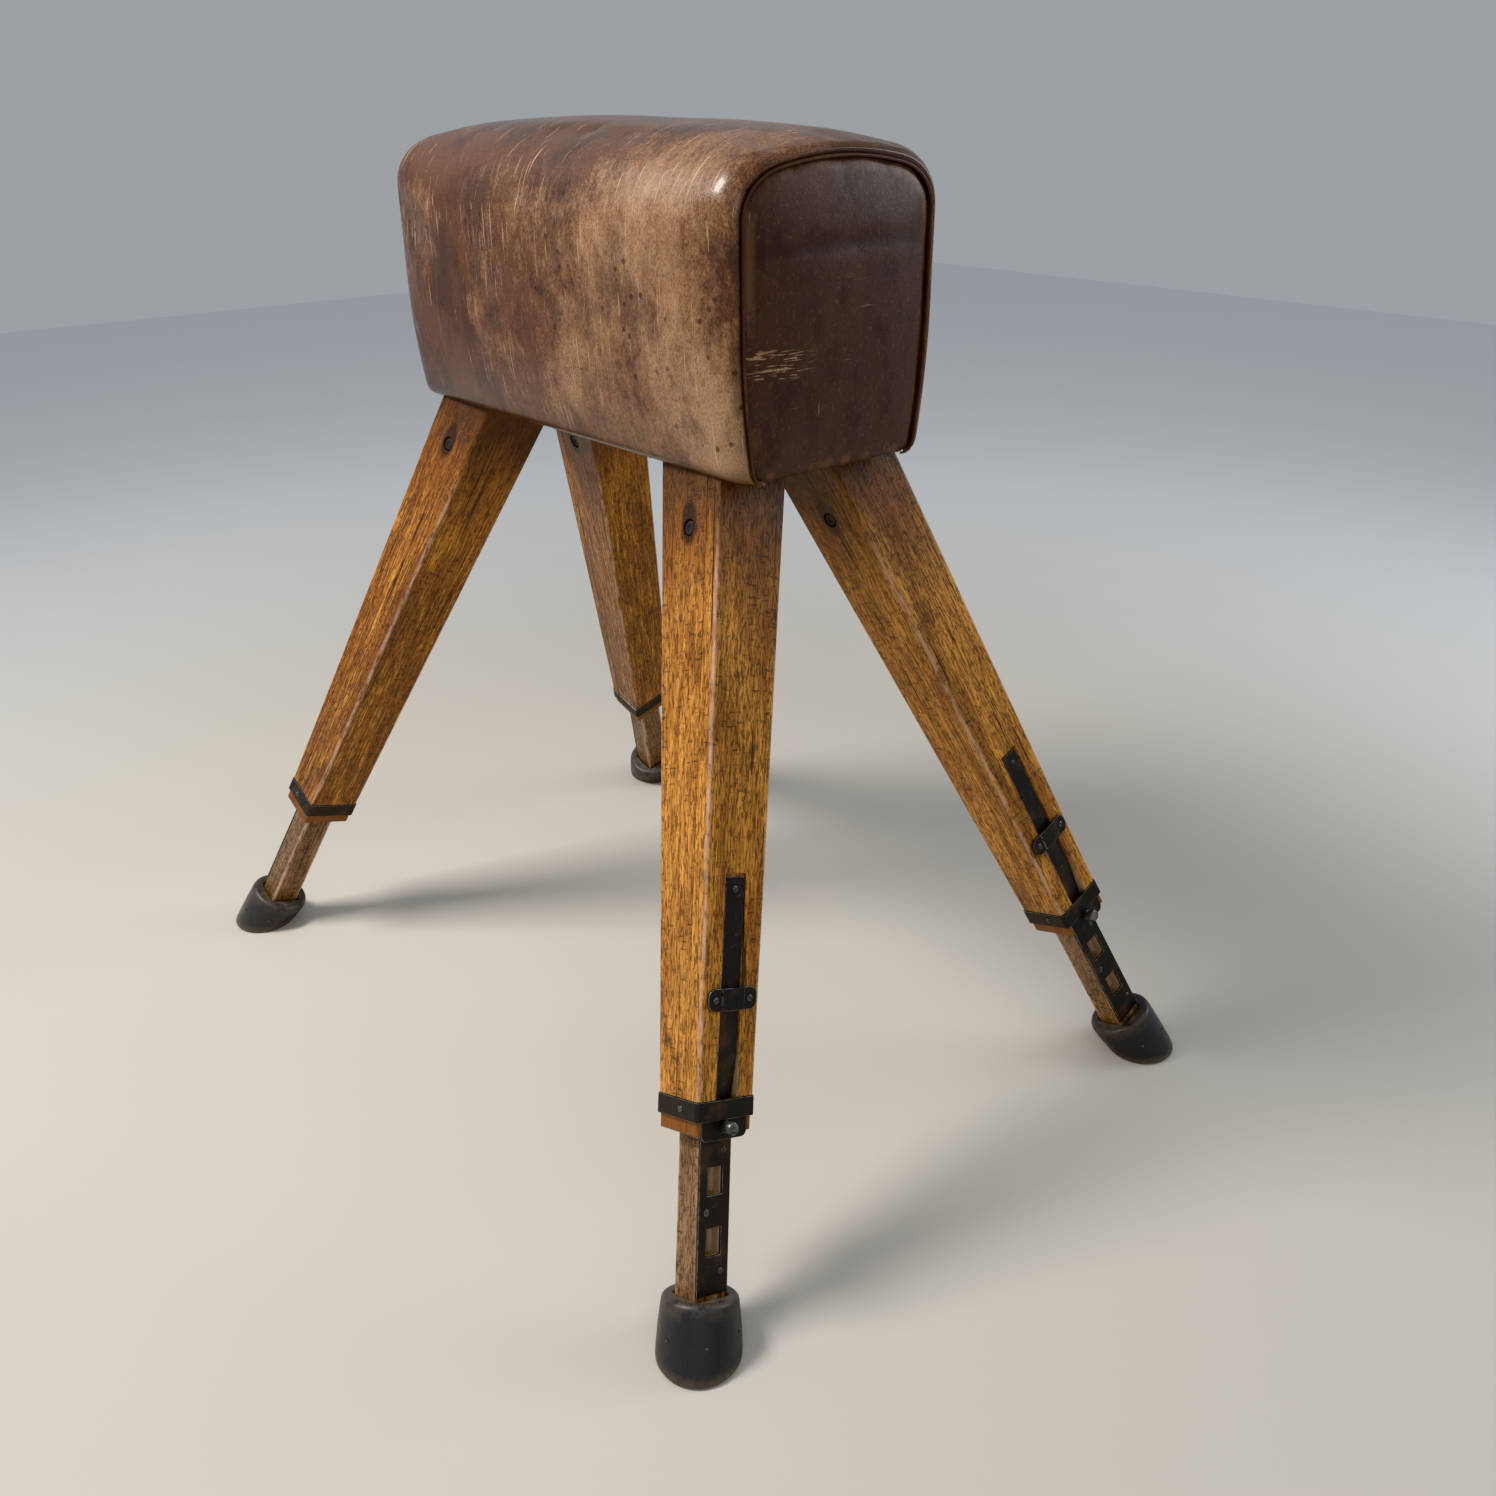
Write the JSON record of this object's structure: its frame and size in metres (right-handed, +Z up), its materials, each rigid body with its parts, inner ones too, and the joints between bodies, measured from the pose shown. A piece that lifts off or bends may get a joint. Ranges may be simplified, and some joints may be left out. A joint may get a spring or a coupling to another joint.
{
  "type": "vaulting buck",
  "caption": "Leather-covered vaulting buck without pommels, on splayed telescopic wooden legs with spring catches, iron height racks and hoof-shaped feet.",
  "frame": {"origin": "on the floor under the middle of the body, at the height set in the picture", "axes": "+X along the body towards its right end panel, +Y across it to the rear side, +Z up"},
  "size_m": [1.1604, 0.8466, 1.125],
  "materials": {
    "chestnut_leather": "worn satin chestnut hide",
    "dark_leather": "darker polished hide",
    "horsehair": "curled hair padding",
    "deal": "bare planed softwood",
    "varnished_beech": "worn amber varnish",
    "red_beech": "dark stained, rubbed",
    "black_iron": "blackened iron with bright worn edges",
    "worn_steel": "dark turned steel, rim rubbed bright",
    "black_rubber": "semi-gloss black, dusty at the sole"
  },
  "bodies": {
    "frame": {"base_board": "deal", "deck_board": "deal", "hair_padding": "horsehair", "wrap_panel": "chestnut_leather", "front_side_board": "deal", "rear_side_board": "deal", "left_end_board": "deal", "right_end_board": "deal", "left_bearer": "deal", "right_bearer": "deal", "left_end_panel": "dark_leather", "right_end_panel": "dark_leather", "left_piping": "dark_leather", "right_piping": "dark_leather", "front_right_leg_beam": "varnished_beech", "front_right_cover_board": "varnished_beech", "front_right_cross_bolt": "black_iron", "front_right_ferrule": "black_iron", "front_right_lock_plate": "black_iron", "front_right_keeper": "black_iron", "front_left_leg_beam": "varnished_beech", "front_left_cover_board": "varnished_beech", "front_left_cross_bolt": "black_iron", "front_left_ferrule": "black_iron", "front_left_lock_plate": "black_iron", "front_left_keeper": "black_iron", "rear_right_leg_beam": "varnished_beech", "rear_right_cover_board": "varnished_beech", "rear_right_cross_bolt": "black_iron", "rear_right_ferrule": "black_iron", "rear_right_lock_plate": "black_iron", "rear_right_keeper": "black_iron", "rear_left_leg_beam": "varnished_beech", "rear_left_cover_board": "varnished_beech", "rear_left_cross_bolt": "black_iron", "rear_left_ferrule": "black_iron", "rear_left_lock_plate": "black_iron", "rear_left_keeper": "black_iron"},
    "front_right_foot": {"front_right_inner_leg": "red_beech", "front_right_rack_plate": "black_iron", "front_right_hoof": "black_rubber"},
    "front_right_latch": {"front_right_leaf_spring": "black_iron", "front_right_catch_knob": "worn_steel"},
    "front_left_foot": {"front_left_inner_leg": "red_beech", "front_left_rack_plate": "black_iron", "front_left_hoof": "black_rubber"},
    "front_left_latch": {"front_left_leaf_spring": "black_iron", "front_left_catch_knob": "worn_steel"},
    "rear_right_foot": {"rear_right_inner_leg": "red_beech", "rear_right_rack_plate": "black_iron", "rear_right_hoof": "black_rubber"},
    "rear_right_latch": {"rear_right_leaf_spring": "black_iron", "rear_right_catch_knob": "worn_steel"},
    "rear_left_foot": {"rear_left_inner_leg": "red_beech", "rear_left_rack_plate": "black_iron", "rear_left_hoof": "black_rubber"},
    "rear_left_latch": {"rear_left_leaf_spring": "black_iron", "rear_left_catch_knob": "worn_steel"}
  },
  "joints": [
    {"name": "front_right_extend", "type": "slide", "parent": "frame", "child": "front_right_foot", "axis": [0.3383, -0.3328, -0.8802], "range_m": [-0.122, 0.305]},
    {"name": "front_right_release", "type": "hinge", "parent": "frame", "child": "front_right_latch", "pos_m": [0.40759, -0.21795, 0.42559], "axis": [-0.0689, -0.9416, 0.3295], "range_deg": [0, 0.92], "stiffness_Nm_per_rad": 400, "springref_deg": -0.57},
    {"name": "front_left_extend", "type": "slide", "parent": "frame", "child": "front_left_foot", "axis": [-0.3383, -0.3328, -0.8802], "range_m": [-0.122, 0.305]},
    {"name": "front_left_release", "type": "hinge", "parent": "frame", "child": "front_left_latch", "pos_m": [-0.40759, -0.21795, 0.42559], "axis": [-0.0689, 0.9416, -0.3295], "range_deg": [0, 0.92], "stiffness_Nm_per_rad": 400, "springref_deg": -0.57},
    {"name": "rear_right_extend", "type": "slide", "parent": "frame", "child": "rear_right_foot", "axis": [0.3383, 0.3328, -0.8802], "range_m": [-0.122, 0.305]},
    {"name": "rear_right_release", "type": "hinge", "parent": "frame", "child": "rear_right_latch", "pos_m": [0.40759, 0.21795, 0.42559], "axis": [0.0689, -0.9416, -0.3295], "range_deg": [0, 0.92], "stiffness_Nm_per_rad": 400, "springref_deg": -0.57},
    {"name": "rear_left_extend", "type": "slide", "parent": "frame", "child": "rear_left_foot", "axis": [-0.3383, 0.3328, -0.8802], "range_m": [-0.122, 0.305]},
    {"name": "rear_left_release", "type": "hinge", "parent": "frame", "child": "rear_left_latch", "pos_m": [-0.40759, 0.21795, 0.42559], "axis": [0.0689, 0.9416, 0.3295], "range_deg": [0, 0.92], "stiffness_Nm_per_rad": 400, "springref_deg": -0.57}
  ]
}
